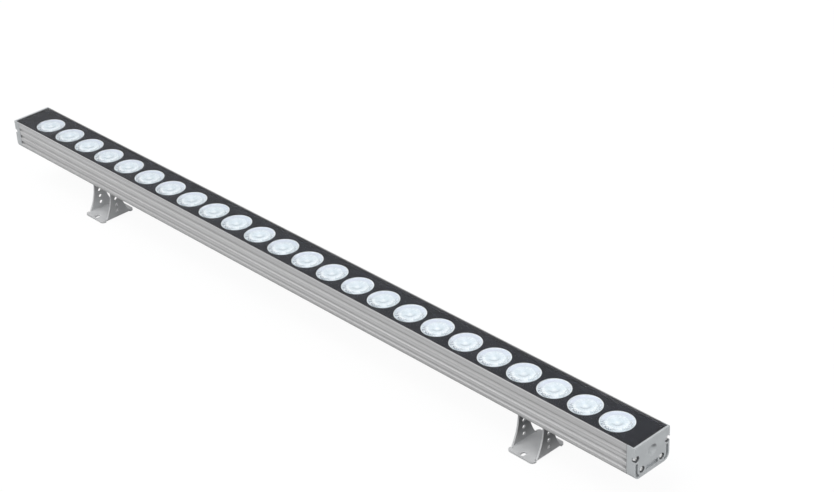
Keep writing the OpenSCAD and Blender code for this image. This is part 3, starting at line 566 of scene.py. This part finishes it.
def soften(name, node, width, along_x=False, air=0.0):
    """Shows a copy of a CAD node with rounded outward corners, and with air round its sides."""
    bm = as_bmesh(node)
    mark = bm.faces.layers.float.new("edge")
    for corner in bm.verts if air else ():
        corner.co.x -= math.copysign(air, corner.co.x)
        corner.co.y -= math.copysign(air, corner.co.y)
    sharp = []
    for edge in bm.edges:
        if len(edge.link_faces) != 2 or edge.calc_face_angle() < math.radians(corner_degrees):
            continue
        run = (edge.verts[1].co - edge.verts[0].co).normalized()
        if edge.is_convex and (abs(run.x) > straight or not along_x):
            sharp.append(edge)
    made = bmesh.ops.bevel(bm, geom=sharp, offset=width, offset_type="OFFSET", affect="EDGES",
                           segments=rounding_steps, profile=0.5, clamp_overlap=True)
    for face in made["faces"]:
        face[mark] = 1.0
    print(name, "edges rounded:", len(sharp), "faces:", len(bm.faces))
    return show(name, settle(name, bm), node)


print("softening is ready: corners over", corner_degrees, "degrees get rounded")

# %% [markdown]
# ## Marks for painted shade
# Shade is painted into the screw pockets of the caps and onto the ears of the brackets. A
# helper picks those faces by where they lie and which way they look, and writes the attribute
# named shaded that the powder coats read. The screws' places are written here and used again
# below.

# %% Marks for painted shade
def mark_shaded(mesh, share, chosen):
    """Gives the faces that chosen picks a share of the painted shade, and the others none."""
    marks = mesh.attributes.new("shaded", "FLOAT", "FACE")
    for face in mesh.polygons:
        marks.data[face.index].value = share if chosen(face) else 0.0


# Where a cap's screws stand: distance from the middle, height, and depth of the head's seat.
screw_places = ((22 * mm, 71.5 * mm, 2.7 * mm), (14 * mm, 56 * mm, 2.1 * mm))
pocket_r = 4.4 * mm
flank_y, outer_face_x = 24.4 * mm, 499.5 * mm
base_top = 3 * mm


def in_pocket(face):
    """Whether a face of an end cap lies inside one of its four screw pockets."""
    x, y, z = abs(face.center.x), abs(face.center.y), face.center.z
    near = min(math.hypot(y - screw_y, z - screw_z) for screw_y, screw_z, _ in screw_places)
    return near < pocket_r and y < flank_y and x < outer_face_x


def on_ear(face):
    """Whether a face of a bracket is the flat side of an ear."""
    return face.center.z > base_top and abs(face.normal.x) > 0.9


print("grime: pockets within", pocket_r, "m of", 2 * len(screw_places), "screws in each cap")

# %% [markdown]
# ## Housing, caps and brackets
# These are the pieces that the eye meets first. The housing's corners run along X only, and
# its ends stay sharp because the gaskets cover them. Shade is painted into the caps' pockets
# and onto the brackets' ears, with a much larger share on the right-hand bracket's ears than
# on the left-hand ones. The pane has a hair of air round it, because glass that touches its
# seal would flicker.

# %% Housing, caps and brackets
soften("housing", "housing_profile", 0.25 * mm, along_x=True)
# Shares of painted shade: in the caps' screw pockets, and on each bracket's ears.
pocket_shade = 0.7
ear_shade = {"left": 0.12, "right": 0.88}
for side in ("left", "right"):
    cap = soften("cap_" + side, "end_cap_" + side, 0.3 * mm)
    mark_shaded(cap.data, pocket_shade, in_pocket)
    foot = soften("foot_" + side, "bracket_" + side, 0.25 * mm)
    mark_shaded(foot.data, ear_shade[side], on_ear)
    soften("hinge_" + side, "hinge_block_" + side, 0.3 * mm)
    soften("slot_nut_" + side, "t_nut_" + side, 0.3 * mm)
soften("pane", "cover_glass", 0.3 * mm, air=0.05 * mm)
soften("pane_seal", "glass_seal", 0.2 * mm)
for side in ("left", "right"):
    soften("washers_" + side, "pivot_washers_" + side, 0.15 * mm)
    soften("board_" + side, "led_board_" + side, 0.15 * mm)
    soften("chips_" + side, "driver_chips_" + side, 0.15 * mm)
soften("jumpers", "board_jumpers", 0.25 * mm)
soften("terminal", "terminal_block", 0.3 * mm)

# %% [markdown]
# ## Lathe
# Lenses, holders, screws, the plug and the grommet are all turned shapes. A helper spins a
# drawn profile into a mesh, which is rounder than the CAD's. A profile is a list of points,
# each a radius and a height in millimetres. One that starts and ends at radius 0 is closed by
# itself, and a hollow one is closed by joining its last point to its first.

# %% Lathe
def spin(bm, profile, turns, wave=None):
    """Adds a turned shape to a bmesh. wave(radius, height, angle) may change a point's radius."""
    circles = []
    for radius, height in profile:
        if radius == 0:
            circles.append([bm.verts.new((0, 0, height))])
            continue
        circle = []
        for step in range(turns):
            angle = 2 * math.pi * step / turns
            here = wave(radius, height, angle) if wave else radius
            circle.append(bm.verts.new((here * math.cos(angle), here * math.sin(angle), height)))
        circles.append(circle)
    for low, high in zip(circles, circles[1:]):
        for step in range(turns):
            after = (step + 1) % turns
            if len(low) == 1:
                bm.faces.new((low[0], high[step], high[after]))
            elif len(high) == 1:
                bm.faces.new((low[step], low[after], high[0]))
            else:
                bm.faces.new((low[step], low[after], high[after], high[step]))


def turned(name, profile, turns=64, wave=None, closed=False, smooth_under=smooth_degrees):
    """A mesh turned from a profile in millimetres. closed joins its last point to its first."""
    bm = bmesh.new()
    points = [(radius * mm, height * mm) for radius, height in profile]
    spin(bm, points + points[:1] if closed else points, turns, wave)
    if closed:
        bmesh.ops.remove_doubles(bm, verts=bm.verts, dist=1e-7)
    return settle(name, bm, smooth_under)


print("the lathe is ready")

# %% [markdown]
# ## Gaskets
# A flat silicone gasket closes each joint between a cap and the profile. In the photograph
# the joint is a faint line, because the gasket swells almost flush with the metal when the
# screws pull it tight. So it is a copy of the CAD's gasket, spread towards the outside.

# %% Gaskets
def swollen(node, gap):
    """A copy of a gasket that ends gap short of the housing's outline."""
    low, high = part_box(node)
    outer_low, outer_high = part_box("housing_profile")
    bm = as_bmesh(node)
    middle = (low + high) / 2
    for axis in (1, 2):
        spread = (outer_high[axis] - outer_low[axis] - 2 * gap) / (high[axis] - low[axis])
        for corner in bm.verts:
            corner.co[axis] = middle[axis] + (corner.co[axis] - middle[axis]) * spread
    return settle(node, bm)


gasket_gap = 0.25 * mm
for side in ("left", "right"):
    show("gasket_" + side, swollen("end_gasket_" + side, gasket_gap), "end_gasket_" + side)
print("gaskets end", gasket_gap, "m short of the outside")

# %% [markdown]
# ## Turned pieces in the end caps
# The plug that closes the spare cable entry is turned. Its rim is nearly flush with the cap,
# its face is a smooth dish, and a painted shadow high in the dish and towards the rear side is
# drawn with the attribute named shaded. The grommet at the other end is rubber: a soft lip
# stands round the cable bore. Both are drawn as profiles and laid along X, and both have a
# flange behind the cap's wall that keeps them in.

# %% Plug and grommet
def laid_along_x(mesh, x, y, z, outwards):
    """Turns a mesh made along +Z so that +Z points along X, and moves it into place."""
    turn = Matrix.Rotation(math.radians(90 * outwards), 4, "Y")
    mesh.transform(Matrix.Translation((x, y, z)) @ turn)
    return mesh


low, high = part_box("entry_plug")
entry_z = (low.z + high.z) / 2
plug_profile = [(0, 3.3), (1.4, 3.38), (2.8, 3.7), (3.9, 4.2), (4.8, 4.85), (5.5, 5.4),
                (6.0, 5.75), (6.3, 5.9), (6.47, 5.95), (6.47, 0.0), (7.3, 0.0), (7.3, -1.2),
                (0, -1.2)]
plug_reach = 5.6 * mm
plug = laid_along_x(turned("plug", plug_profile, 72), high.x - plug_reach, 0, entry_z, 1)
# A painted shadow: a dark spot high in the dish, fading towards its edge.
spot_y, spot_z, spot_r, spot_share = 4.0 * mm, entry_z + 2.4 * mm, 3.4 * mm, 0.95
marks = plug.attributes.new("shaded", "FLOAT", "POINT")
for vertex in plug.vertices:
    away = math.hypot(vertex.co.y - spot_y, vertex.co.z - spot_z)
    marks.data[vertex.index].value = spot_share * max(0.0, 1 - away / spot_r)
show("plug", plug, "entry_plug")

low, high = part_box("cable_grommet")
grommet_profile = [(3.5, -1.2), (3.5, 4.0), (3.7, 4.5), (4.2, 4.8), (4.8, 4.6), (5.1, 4.1),
                   (5.4, 3.9), (5.7, 4.1), (6.1, 4.2), (6.4, 3.9), (6.45, 3.5), (6.45, 0.0),
                   (7.3, 0.0), (7.3, -1.2)]
grommet_reach = 4.8 * mm
grommet = turned("grommet", grommet_profile, 72, closed=True)
show("grommet", laid_along_x(grommet, low.x + grommet_reach, 0, entry_z, -1), "cable_grommet")
print("entries are", round(entry_z, 4), "m up")

# %% [markdown]
# ## Recesses for drivers
# A screw head is a turned dome with a recess. The recess is cut with a Boolean modifier,
# which takes one closed mesh out of another, and then the result is kept as a plain mesh. The
# tool that cuts is a prism over the outline of a cross or a hexagon.

# %% Recesses for drivers
def cut_out(mesh, tool):
    """The mesh without what the tool's mesh covers."""
    body = bpy.data.objects.new("body", mesh)
    knife = bpy.data.objects.new("knife", tool)
    for helper in (body, knife):
        scene.collection.objects.link(helper)
    cut = body.modifiers.new("cut", "BOOLEAN")
    cut.operation, cut.solver, cut.object = "DIFFERENCE", "EXACT", knife
    bpy.context.view_layer.update()
    whole_scene = bpy.context.evaluated_depsgraph_get()
    result = bpy.data.meshes.new_from_object(body.evaluated_get(whole_scene))
    for helper in (body, knife):
        bpy.data.objects.remove(helper)
    result.shade_smooth()
    result.set_sharp_from_angle(angle=math.radians(smooth_degrees))
    return result


def recess_tool(outline, depth, top, taper):
    """A closed prism over an outline, narrower at its foot, that stands 1 mm proud."""
    bm = bmesh.new()
    foot = [bm.verts.new((x * taper * mm, y * taper * mm, (top - depth) * mm))
            for x, y in outline]
    head = [bm.verts.new((x * mm, y * mm, (top + 1) * mm)) for x, y in outline]
    bm.faces.new(reversed(foot))
    bm.faces.new(head)
    for i in range(len(outline)):
        j = (i + 1) % len(outline)
        bm.faces.new((foot[i], foot[j], head[j], head[i]))
    return settle("tool", bm)


def cross(arm, half):
    """The outline of a cross recess: the length of an arm and half its width."""
    corner = [(arm, half), (half, half), (half, arm)]
    turns = [(1, 1), (-1, 1), (-1, -1), (1, -1)]
    points = []
    for number, (sx, sy) in enumerate(turns):
        run = corner if number % 2 == 0 else corner[::-1]
        points += [(x * sx, y * sy) for x, y in run]
    return points


def hexagon(flats):
    """The outline of a hexagon by its width across flats."""
    reach = flats / 2 / math.cos(math.radians(30))
    return [(reach * math.cos(math.radians(60 * i)), reach * math.sin(math.radians(60 * i)))
            for i in range(6)]


print("recesses: cross and hexagon")

# %% [markdown]
# ## Screws
# The cap screws share one drawing, and so do the pivot screws. Each screw in a cap is turned
# by an angle of its own, as a fitter leaves them. The screws of one CAD node are gathered
# into one mesh.

# %% Screws
def gathered(name, mesh, spots):
    """One mesh made of copies of a mesh at several places."""
    bm = bmesh.new()
    for spot in spots:
        copy = mesh.copy()
        copy.transform(spot)
        bm.from_mesh(copy)
        bpy.data.meshes.remove(copy)
    result = bpy.data.meshes.new(name)
    bm.to_mesh(result)
    bm.free()
    result.shade_smooth()
    result.set_sharp_from_angle(angle=math.radians(smooth_degrees))
    return result


def facing(x, y, z, outwards):
    """The place of a screw whose head points along X, turned by an odd angle on its axis."""
    spin_by = Matrix.Rotation(math.radians(37 * y / mm + 11 * z / mm), 4, "Z")
    turn = Matrix.Rotation(math.radians(90 * outwards), 4, "Y")
    return Matrix.Translation((x, y, z)) @ turn @ spin_by


pan_profile = [(0, 1.9), (1.2, 1.87), (1.9, 1.65), (2.3, 1.25), (2.48, 0.8), (2.5, 0.2),
               (2.4, 0.0), (1.65, 0.0), (1.65, -15.6), (1.2, -16), (0, -16)]
pan_recess = recess_tool(cross(arm=1.45, half=0.34), depth=1.1, top=1.88, taper=0.6)
pan_screw = cut_out(turned("pan", pan_profile, 40), pan_recess)
for side, outwards in (("left", -1), ("right", 1)):
    node = "cap_screws_" + side
    low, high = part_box(node)
    tip = high.x if outwards > 0 else low.x
    spots = [facing(tip - outwards * depth, front_or_rear * y, z, outwards)
             for front_or_rear in (-1, 1) for y, z, depth in screw_places]
    screws = gathered("end_screws_" + side, pan_screw, spots)
    show("end_screws_" + side, screws, node, weighted=False)

button_h = 2.8
button_profile = [(0, button_h), (2.2, 2.72), (3.2, 2.4), (3.95, 1.8), (4.4, 1.0), (4.5, 0.4),
                  (4.4, 0.0), (2.5, 0.0), (2.5, -12.0), (2.1, -12.4), (0, -12.4)]
button_recess = recess_tool(hexagon(flats=3.0), depth=1.6, top=button_h, taper=0.97)
button_screw = cut_out(turned("button", button_profile, 48), button_recess)
socket_profile = [(0, 0.0), (3.1, 0.0), (3.4, 0.3), (3.4, 2.3), (3.3, 2.5), (2.0, 2.5),
                  (2.0, 20.9), (1.7, 21.3), (0, 21.3)]
socket_recess = recess_tool(hexagon(flats=2.5), depth=1.5, top=0.0, taper=0.97)
socket_recess.transform(Matrix.Rotation(math.pi, 4, "X"))
socket_screw = cut_out(turned("socket", socket_profile, 40), socket_recess)
for side in ("left", "right"):
    node = "pivot_screws_" + side
    low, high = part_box(node)
    y, z = (low.y + high.y) / 2, (low.z + high.z) / 2
    spots = [facing(low.x + button_h * mm, y, z, -1), facing(high.x - button_h * mm, y, z, 1)]
    show("pivots_" + side, gathered("pivots_" + side, button_screw, spots), node, weighted=False)
    node = "clamp_screw_" + side
    low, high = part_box(node)
    clamp = socket_screw.copy()
    clamp.transform(Matrix.Translation(((low.x + high.x) / 2, 0, low.z)))
    show("clamp_" + side, clamp, node, weighted=False)
print("screws: 8 in the caps, 4 pivots, 2 clamps")

# %% [markdown]
# ## Glass print
# Behind the pane lies a black print with one round window for each lens. The pane and the
# print touch in the CAD, and two faces in the same place flicker, so the print's top is drawn
# a hair lower. Each window is a ring of quads joined to a rectangle around it, once for the
# top and once for the bottom, with a short wall between the two.

# %% Glass print
lens_count = sum(name.startswith("lens_") and name[5:].isdigit() for name in frame["nodes"])
lens_places = []
for number in range(1, lens_count + 1):
    low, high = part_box("lens_%02d" % number)
    lens_places.append(((low.x + high.x) / 2, (low.y + high.y) / 2, high.z))
pitch = lens_places[1][0] - lens_places[0][0]
window_r = 17.4 * mm
print_gap = 0.02 * mm


def print_sheet(turns=96):
    """The black sheet with its windows. turns is the number of steps round a window."""
    low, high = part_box("glass_print")
    top, bottom = high.z - print_gap, low.z
    bm = bmesh.new()
    for x, y, _ in lens_places:
        west = low.x if x == lens_places[0][0] else x - pitch / 2
        east = high.x if x == lens_places[-1][0] else x + pitch / 2
        for z, flip in ((top, False), (bottom, True)):
            window, border = [], []
            for step in range(turns):
                angle = 2 * math.pi * (step + 0.5) / turns
                across, up = math.cos(angle), math.sin(angle)
                window.append(bm.verts.new((x + window_r * across, y + window_r * up, z)))
                reach = 1 / max(abs(across), abs(up))
                side = (east - x) if across > 0 else (x - west)
                border.append(bm.verts.new((x + side * across * reach,
                                            y + high.y * up * reach, z)))
            for step in range(turns):
                after = (step + 1) % turns
                quad = (window[step], border[step], border[after], window[after])
                bm.faces.new(reversed(quad) if flip else quad)
            if flip:
                for step in range(turns):
                    after = (step + 1) % turns
                    bm.faces.new((upper[step], upper[after], window[after], window[step]))
            upper = window
    bmesh.ops.remove_doubles(bm, verts=bm.verts, dist=1e-6)
    return settle("print_sheet", bm)


show("print_sheet", print_sheet(), "glass_print", weighted=False)
print("print windows:", len(lens_places), "pitch", round(pitch, 4))

# %% [markdown]
# ## Lenses
# A lens is a cone of clear plastic that gathers an emitter's light, under a round face with
# a raised rim, a gentle dome and a dish over the emitter. The cone's flank has shallow
# flutes, which break the light into petals. One mesh serves all 24 lenses.

# %% Lenses
flute_foot, flute_top, flute_least_r = -13 * mm, -2 * mm, 6.2 * mm
flute_share = 0.02


def flutes(radius, height, angle):
    """Waves the cone's flank and leaves the face and the foot round."""
    on_flank = flute_foot < height < flute_top and radius > flute_least_r
    return radius * (1 + (flute_share * math.cos(flute_count * angle) if on_flank else 0.0))


lens_profile = [
    (0, -0.85), (1.6, -0.8), (3.2, -0.66), (4.6, -0.44), (5.8, -0.25), (6.6, -0.15), (7.4, -0.1),
    (9.0, -0.12), (11.0, -0.2), (13.0, -0.31), (14.6, -0.4), (15.2, -0.42), (15.6, -0.36),
    (15.9, -0.2), (16.2, -0.08), (16.5, -0.02), (17.2, 0.0), (17.6, -0.06), (17.8, -0.3),
    (17.8, -1.3), (17.65, -1.5), (16.15, -1.5), (15.1, -3.1), (13.5, -5.4), (11.8, -7.7),
    (9.9, -9.9), (8.0, -11.8), (6.3, -13.2), (6.0, -13.4), (4.1, -13.4), (4.0, -13.2),
    (3.9, -10.8), (3.2, -9.6), (2.0, -8.8), (0, -8.5)]
lens_mesh = turned("lens", lens_profile, turns=96, wave=flutes, smooth_under=50)
for number, spot in enumerate(lens_places, 1):
    node = "lens_%02d" % number
    show("optic_%02d" % number, lens_mesh, node, at=spot, weighted=False)
low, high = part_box("lens_01")
drawn_h = -min(height for _, height in lens_profile)
print("lens height in the CAD:", round((high.z - low.z) / mm, 2), "drawn:", drawn_h)

# %% [markdown]
# ## Holders and emitters
# Each lens rests in a white cup over an emitter. They show only as pale depth through the
# lens, so a plain turned cup is enough, and the emitters keep their CAD shape. Half the row
# is one piece, as in the CAD.

# %% Holders and emitters
cup_low, cup_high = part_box("lens_holders_left")
cup_h = (cup_high.z - cup_low.z) / mm
seat_h = cup_h - 1.2
cup_profile = [(16.25, 0.3), (16.25, seat_h), (17.85, seat_h), (17.85, cup_h - 0.2),
               (18.0, cup_h), (18.35, cup_h), (18.5, cup_h - 0.2), (18.5, 0.2), (18.3, 0.0),
               (16.5, 0.0)]
cup = turned("cup", cup_profile, closed=True)
half_row = lens_count // 2
for side, row in (("left", lens_places[:half_row]), ("right", lens_places[half_row:])):
    spots = [Matrix.Translation((x, y, cup_low.z)) for x, y, _ in row]
    cups = gathered("cups_" + side, cup, spots)
    show("cups_" + side, cups, "lens_holders_" + side, weighted=False)
print("holders:", lens_count, "cup height", round(cup_h, 2), "mm")

# %% [markdown]
# ## Floor
# The light stands on a plain pale floor. To the camera, also through the glass, it is white
# by itself and keeps only a faint shadow. What metal and glass mirror of it is pale paint
# that takes shadows. To all other light it is a plain grey, so it doesn't flood the
# underside of the light.

# %% Floor
floor_half, floor_drop = 30, 0.2 * mm
bm = bmesh.new()
bmesh.ops.create_grid(bm, x_segments=4, y_segments=4, size=floor_half)
floor = bpy.data.objects.new("floor", bpy.data.meshes.new("floor"))
bm.to_mesh(floor.data)
bm.free()
floor.location.z = -floor_drop
scene.collection.objects.link(floor)

paint = bpy.data.materials.new("floor")
paint.use_nodes = True
tree = paint.node_tree
tree.nodes.remove(tree.nodes["Principled BSDF"])
path = add(tree, "ShaderNodeLightPath").outputs
direct = calculate(tree, "LESS_THAN", path["Diffuse Depth"], 0.5)
clear = calculate(tree, "MULTIPLY", direct, calculate(tree, "MAXIMUM", path["Is Camera Ray"],
                  path["Is Transmission Ray"]))


def pale(paint_share, glow_share):
    """A floor of which a share is paint, which takes shadows, and a share is glow."""
    matt = add(tree, "ShaderNodeBsdfDiffuse", {"Color": (paint_share,) * 3 + (1,)})
    glow = add(tree, "ShaderNodeEmission", {"Color": (glow_share,) * 3 + (1,), "Strength": 1.0})
    return add(tree, "ShaderNodeAddShader", {0: matt.outputs[0], 1: glow.outputs[0]}).outputs[0]


for_other_light, for_mirrors, for_the_eye = pale(0.27, 0.0), pale(0.7, 0.1), pale(0.08, 0.92)
glossy = calculate(tree, "MULTIPLY", direct, path["Is Glossy Ray"])
mirrored = add(tree, "ShaderNodeMixShader", {0: glossy, 1: for_other_light, 2: for_mirrors})
switch = add(tree, "ShaderNodeMixShader", {0: clear, 1: mirrored.outputs[0], 2: for_the_eye})
tree.links.new(switch.outputs[0], tree.nodes["Material Output"].inputs["Surface"])
floor.data.materials.append(paint)
print("floor:", 2 * floor_half, "m square")

# %% [markdown]
# ## World and lamps
# Two wide soft suns light the object at a level where white paint renders about white. One
# stands high in front, and a weaker one stands past the plugged end. A sky that is brighter
# overhead fills the shadows. What the camera and the mirrors see of the sky is white near the
# horizon, where it joins the floor, and darker higher up, as a studio's ceiling is.

# %% World and lamps
world = bpy.data.worlds.new("studio")
scene.world = world
world.use_nodes = True
tree = world.node_tree
path = add(tree, "ShaderNodeLightPath").outputs
seen = calculate(tree, "MAXIMUM", path["Is Camera Ray"],
                 calculate(tree, "MAXIMUM", path["Is Glossy Ray"], path["Is Transmission Ray"]))
seen = calculate(tree, "MULTIPLY", seen, calculate(tree, "LESS_THAN", path["Diffuse Depth"], 0.5))
height = add(tree, "ShaderNodeSeparateXYZ",
             {0: add(tree, "ShaderNodeTexCoord").outputs["Generated"]}).outputs[2]
ceiling_start, ceiling_end, ceiling_strength = 0.25, 0.45, 0.25
fill_at_horizon, fill_rise = 0.30, 0.6
sky = fade(tree, height, ceiling_start, ceiling_end, 1.0, ceiling_strength)
light = tree.nodes["Background"]
light.inputs["Color"].default_value = (0.96, 0.98, 1.0, 1)
height_squared = calculate(tree, "MULTIPLY", height, height)
fill = calculate(tree, "MULTIPLY_ADD", height_squared, fill_rise, fill_at_horizon)
tree.links.new(fill, light.inputs["Strength"])
view = add(tree, "ShaderNodeBackground", {"Strength": sky})
switch = add(tree, "ShaderNodeMixShader", {0: seen, 1: light.outputs[0], 2: view.outputs[0]})
tree.links.new(switch.outputs[0], tree.nodes["World Output"].inputs["Surface"])

# Each lamp's name, strength, width in degrees, and the direction that its light comes from.
lamps = (("front_lamp", 1.6, 40, (-0.10, -0.50, 0.86)),
         ("end_lamp", 0.95, 50, (0.80, -0.10, 0.59)))
for name, energy, spread, source in lamps:
    lamp = bpy.data.objects.new(name, bpy.data.lights.new(name, "SUN"))
    lamp.data.energy = energy
    lamp.data.angle = math.radians(spread)
    lamp.rotation_mode = "QUATERNION"
    lamp.rotation_quaternion = Vector(source).to_track_quat("Z", "Y")
    scene.collection.objects.link(lamp)
scene.view_settings.view_transform = "Standard"
print("lamps:", len(lamps))

# %% [markdown]
# ## Pieces that keep their CAD shape
# What is left are small or hidden pieces whose CAD shape is already right. Each gets the
# finish that the record names for it.

# %% Remaining CAD nodes
kept = 0
for name, node in frame["nodes"].items():
    if node.hide_render:
        continue
    for material_slot in node.material_slots:
        material_slot.material = finish[slot_of[name]]
    kept += 1
print("CAD nodes that show themselves:", kept)
